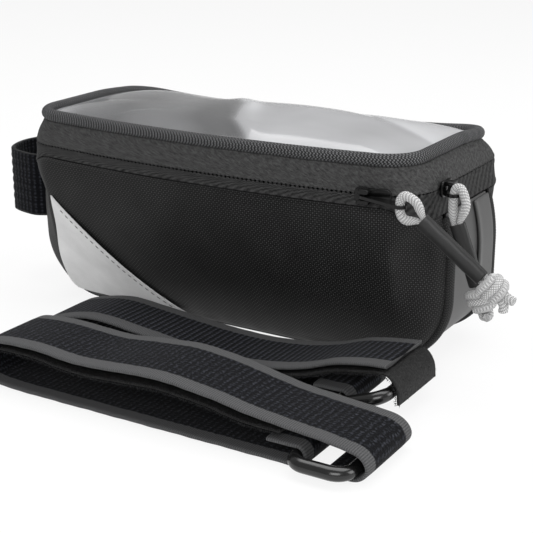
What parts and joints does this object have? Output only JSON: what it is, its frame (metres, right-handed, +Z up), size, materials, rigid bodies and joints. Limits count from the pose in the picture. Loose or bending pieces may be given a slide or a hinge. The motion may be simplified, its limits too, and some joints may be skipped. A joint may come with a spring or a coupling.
{
  "type": "bicycle top tube phone bag",
  "caption": "Zipped fabric bag for a bicycle's top tube, with a domed clear phone window in its lid, cord zip pulls, a stem strap and loose hook-and-loop straps.",
  "frame": {"origin": "middle of the bag's underside, on the plane it rests on", "axes": "+X towards the rider's end, -X towards the stem strap, -Y the side with the loose straps, +Z up through the window"},
  "size_m": [0.281, 0.1896, 0.0977],
  "materials": {
    "woven_nylon": "black ballistic weave with small light dots",
    "coated_fabric": "smooth dark grey coating",
    "zip_tape": "charcoal woven tape",
    "zip_coil": "black nylon coil",
    "braided_piping": "dark braid",
    "reflective_film": "light grey reflective film, bare",
    "window_film": "clear flexible film",
    "lining": "grey padded lining",
    "stiffener": "thin plastic board",
    "pad": "black rubbery pad",
    "black_metal": "satin black",
    "cord": "light grey braided cord",
    "rubber_sleeve": "soft black rubber",
    "loop_strap": "navy black loop pile with grey selvedges",
    "hook_tape": "black hooks",
    "black_plastic": "glossy black plastic"
  },
  "bodies": {
    "bag": {"side_panel_near": "woven_nylon", "side_panel_far": "woven_nylon", "gusset": "coated_fabric", "end_tab": "coated_fabric", "piping_near": "braided_piping", "piping_far": "braided_piping", "reflective_patch_near": "reflective_film", "reflective_patch_far": "reflective_film", "inner_lining": "lining", "base_board": "stiffener", "base_pad": "pad", "zip_tape_lower": "zip_tape", "zip_coil_lower": "zip_coil", "lid_hinge_strip": "zip_tape", "stem_strap": "loop_strap", "strap_front_band": "loop_strap", "strap_front_hook_tape": "hook_tape", "strap_front_ring": "black_plastic", "strap_rear_band": "loop_strap", "strap_rear_hook_tape": "hook_tape", "strap_rear_ring": "black_plastic"},
    "lid": {"zip_tape_upper": "zip_tape", "zip_coil_upper": "zip_coil", "lid_rim": "braided_piping", "lid_window": "window_film", "phone_pocket_panel": "lining", "pocket_closure": "hook_tape"},
    "slider_front": {"zip_slider_front": "black_metal"},
    "slider_rear": {"zip_slider_rear": "black_metal"},
    "pull_front": {"pull_tab_front": "black_metal", "pull_cord_front": "cord", "pull_sleeve_front": "rubber_sleeve", "pull_knot_front": "cord"},
    "pull_rear": {"pull_tab_rear": "black_metal", "pull_cord_rear": "cord", "pull_sleeve_rear": "rubber_sleeve", "pull_knot_rear": "cord"}
  },
  "joints": [
    {"name": "lid_hinge", "type": "hinge", "parent": "bag", "child": "lid", "pos_m": [-0.0993, 0, 0.0792], "axis": [0, -1, 0], "range_deg": [0, 90]},
    {"name": "front_slider_travel", "type": "hinge", "parent": "bag", "child": "slider_front", "pos_m": [0, 0.547, 0.0792], "axis": [0, 0, 1], "range_deg": [-14.9, 0]},
    {"name": "rear_slider_travel", "type": "slide", "parent": "bag", "child": "slider_rear", "axis": [0, 1, 0], "range_m": [0, 0.04]},
    {"name": "front_pull_turn", "type": "hinge", "parent": "slider_front", "child": "pull_front", "pos_m": [0.07873, -0.05195, 0.0792], "axis": [0, 0, 1], "range_deg": [-150, 0]},
    {"name": "rear_pull_turn", "type": "hinge", "parent": "slider_rear", "child": "pull_rear", "pos_m": [0.1031, -0.0225, 0.0792], "axis": [0, 0, 1], "range_deg": [0, 75]}
  ]
}
